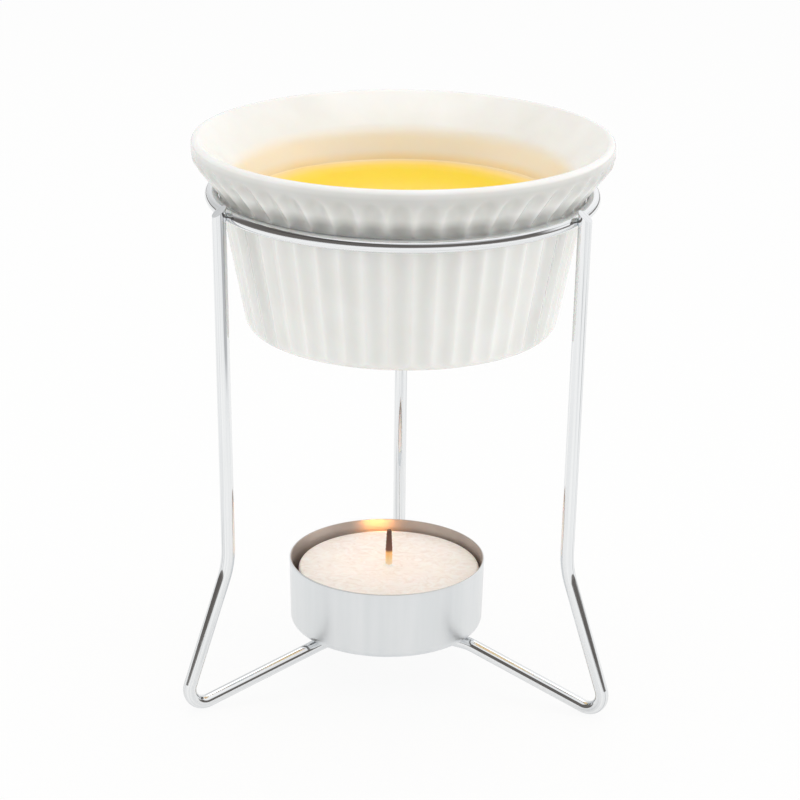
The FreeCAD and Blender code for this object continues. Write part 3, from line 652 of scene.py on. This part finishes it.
# Candle: pressed paraffin wax, off-white and a little see-through, loose in its cup.
# Its top is scuffed in short strokes, and it is smoother where it has melted and climbs the wick.
wax_low, wax_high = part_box("candle_wax")
wax_radius, wax_height = (wax_high.x - wax_low.x) / 2, wax_high.z - wax_low.z
wax_place = Vector(((wax_low.x + wax_high.x) / 2, 0, wax_low.z))
wick_radius, wax_climb = 0.7 * MM, 0.4 * MM
shape = bmesh.new()
spin_line(shape, rounded_line([
    (0, 0, 0),
    (wax_radius, 0, heel - cup_wall),
    (wax_radius, wax_height, 0.5 * MM),
    (wick_radius + 0.5 * MM, wax_height, 0.6 * MM),
    (0.9 * wick_radius, wax_height + wax_climb, 0),
    (0, wax_height + wax_climb, 0),
]), 128)
bmesh.ops.translate(shape, verts=shape.verts, vec=wax_place)

# Pressed paraffin: a warm, pinkish white with a dull sheen, and lighter strokes where it is scuffed
wax, tree = new_material("pressed_paraffin_wax")
place = add_node(tree, "ShaderNodeTexCoord")
stroke_way = add_node(tree, "ShaderNodeMapping", {
    "Vector": place.outputs["Object"], "Rotation": (0, 0, math.radians(35)),
    "Scale": (1 / (3 * MM), 1 / (2.2 * MM), 1 / (3 * MM))})
strokes = add_node(tree, "ShaderNodeTexNoise", {
    "Vector": stroke_way.outputs[0], "Scale": 1.0, "Detail": 6.0, "Distortion": 2.2})
grain = add_node(tree, "ShaderNodeTexNoise", {
    "Vector": place.outputs["Object"], "Scale": 1 / (0.8 * MM), "Detail": 3.0})
wax_colour = add_node(tree, "ShaderNodeValToRGB", {0: strokes.outputs[0]}, stops=[
    (0.3, "F3EBE7"), (0.5, "FBF6F4"), (0.68, "FFFEFD")])
wax_relief = add_node(tree, "ShaderNodeMath", {0: grain.outputs[0], 1: 0.4, 2: strokes.outputs[0]},
                      operation="MULTIPLY_ADD")
scuffs = add_node(tree, "ShaderNodeBump", {
    "Height": wax_relief.outputs[0], "Strength": 0.35, "Distance": 0.15 * MM})
from_wick = add_node(tree, "ShaderNodeVectorMath", {
    0: place.outputs["Object"], 1: wax_place + Vector((0, 0, wax_height))}, operation="DISTANCE")
wetness = add_node(tree, "ShaderNodeMapRange", {
    0: from_wick.outputs["Value"], 1: 1 * MM, 2: 6 * MM, 3: 0.3, 4: 0.42})
paraffin = add_node(tree, "ShaderNodeBsdfPrincipled", {
    "Base Color": wax_colour.outputs[0], "Roughness": wetness.outputs[0], "IOR": 1.44,
    "Normal": scuffs.outputs[0], "Subsurface Weight": 0.2, "Subsurface Scale": 1.5 * MM})
add_node(tree, "ShaderNodeOutputMaterial", {"Surface": paraffin.outputs[0]})
ride_along(shape, "wax_slug", wax, "wax", "candle_wax")


# Wick: braided cotton soaked in wax, brown and burnt at its tip, pale where the wax still wets it.
# A tinned disc with a crimped collar, sunk in the wax, holds it upright.
wick_low, wick_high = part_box("wick")
wick_height = wick_high.z - wick_low.z
strand_count, strand_twist, strand_swell = 3, math.tau / (2.4 * MM), 0.04
burnt_from, tip_share = wax_high.z - wick_low.z + 3.5 * MM, 0.68
shape = bmesh.new()
bmesh.ops.create_cone(shape, cap_ends=True, segments=24, radius1=wick_radius, radius2=wick_radius,
                      depth=wick_height, matrix=Matrix.Translation((0, 0, wick_height / 2)))
sides = [edge for edge in shape.edges if abs(edge.verts[0].co.z - edge.verts[1].co.z) > wick_height / 2]
bmesh.ops.subdivide_edges(shape, edges=sides, cuts=60, use_grid_fill=True)
for corner in shape.verts:
    around = math.atan2(corner.co.y, corner.co.x)
    strand = math.cos(strand_count * (around + strand_twist * corner.co.z))
    burnt_share = max(0, (corner.co.z - burnt_from) / (wick_height - burnt_from))
    squeeze = (1 - strand_swell * (1 - strand)) * (1 - (1 - tip_share) * burnt_share)
    corner.co.x *= squeeze
    corner.co.y *= squeeze
bmesh.ops.recalc_face_normals(shape, faces=shape.faces)
bmesh.ops.translate(shape, verts=shape.verts, vec=((wick_low.x + wick_high.x) / 2, 0, wick_low.z))

# Waxed cotton: cream at the wax, turning orange below a dull brown tip, the orange being painted flame
# light
cotton, tree = new_material("waxed_cotton_braid")
place = add_node(tree, "ShaderNodeTexCoord")
height = add_node(tree, "ShaderNodeSeparateXYZ", {0: place.outputs["Object"]})
burn_and_flame_light = add_node(tree, "ShaderNodeMapRange", {
    0: height.outputs["Z"], 1: wax_high.z, 2: wick_high.z, 3: 0.0, 4: 1.0})
# Painted flame light: the orange stops below the tip stand for the flame's glow on the wick
burn_and_flame_light_colour = add_node(tree, "ShaderNodeValToRGB", {0: burn_and_flame_light.outputs[0]}, stops=[
    (0.0, "FFE8CC"), (0.2, "FFDAA2"), (0.38, "FFC078"), (0.45, "7A5445"), (1.0, "5A4038")])
fibre_way = add_node(tree, "ShaderNodeTexNoise", {
    "Vector": place.outputs["Object"], "Scale": 1 / (0.25 * MM), "Detail": 2.0})
fibres = add_node(tree, "ShaderNodeBump", {
    "Height": fibre_way.outputs[0], "Strength": 0.5, "Distance": 0.1 * MM})
braid = add_node(tree, "ShaderNodeBsdfPrincipled", {
    "Base Color": burn_and_flame_light_colour.outputs[0], "Roughness": 0.75, "Normal": fibres.outputs[0]})
add_node(tree, "ShaderNodeOutputMaterial", {"Surface": braid.outputs[0]})
ride_along(shape, "braided_wick", cotton, "cotton", "wick")

# Tinned steel: a pale grey metal with spangles of more and less gloss
tin, tree = new_material("tinned_steel_sheet")
place = add_node(tree, "ShaderNodeTexCoord")
spangle = add_node(tree, "ShaderNodeTexVoronoi", {
    "Vector": place.outputs["Object"], "Scale": 1 / (1.5 * MM)})
spangle_gloss = add_node(tree, "ShaderNodeMapRange", {0: spangle.outputs["Distance"], 3: 0.2, 4: 0.4})
tinning = add_node(tree, "ShaderNodeBsdfPrincipled", {
    "Base Color": linear("C9CACC"), "Metallic": 1.0, "Roughness": spangle_gloss.outputs[0]})
add_node(tree, "ShaderNodeOutputMaterial", {"Surface": tinning.outputs[0]})
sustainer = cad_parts["wick_sustainer"]
for material_slot in sustainer.material_slots:
    material_slot.material = tin


# Flame: too bright for the photograph to show. Two small warm lamps give its glow: one on the wick and the
# wax, and one on the back of the cup, which faces the wall so that the wax stays white.
wick_place = Vector(((wick_low.x + wick_high.x) / 2, 0, wick_high.z))
wick_glow = bpy.data.lights.new("wick_glow", "POINT")
wick_glow.energy, wick_glow.color = 0.0018, (1.0, 0.6, 0.35)
wick_glow.shadow_soft_size = 3.5 * MM
cup_glow = bpy.data.lights.new("cup_glow", "AREA")
cup_glow.energy, cup_glow.color = 0.0006, (1.0, 0.42, 0.1)
cup_glow.shape, cup_glow.size, cup_glow.size_y = "ELLIPSE", 5 * MM, 1 * MM
flame_glows = {
    # place from the wick's tip in millimetres, and the way the light looks
    wick_glow: ((-1.5, 1, 6.5), (0, 0, -1)),
    cup_glow: ((-2.4, 16.6, -5.6), (0, 1, 0.1)),
}
for glow, (place, way) in flame_glows.items():
    flame = bpy.data.objects.new(glow.name, glow)
    flame.location = wick_place + Vector(place) * MM
    flame.rotation_euler = Vector(way).to_track_quat("-Z", "Y").to_euler()
    flame.visible_camera = False
    flame.visible_glossy = False
    scene.collection.objects.link(flame)
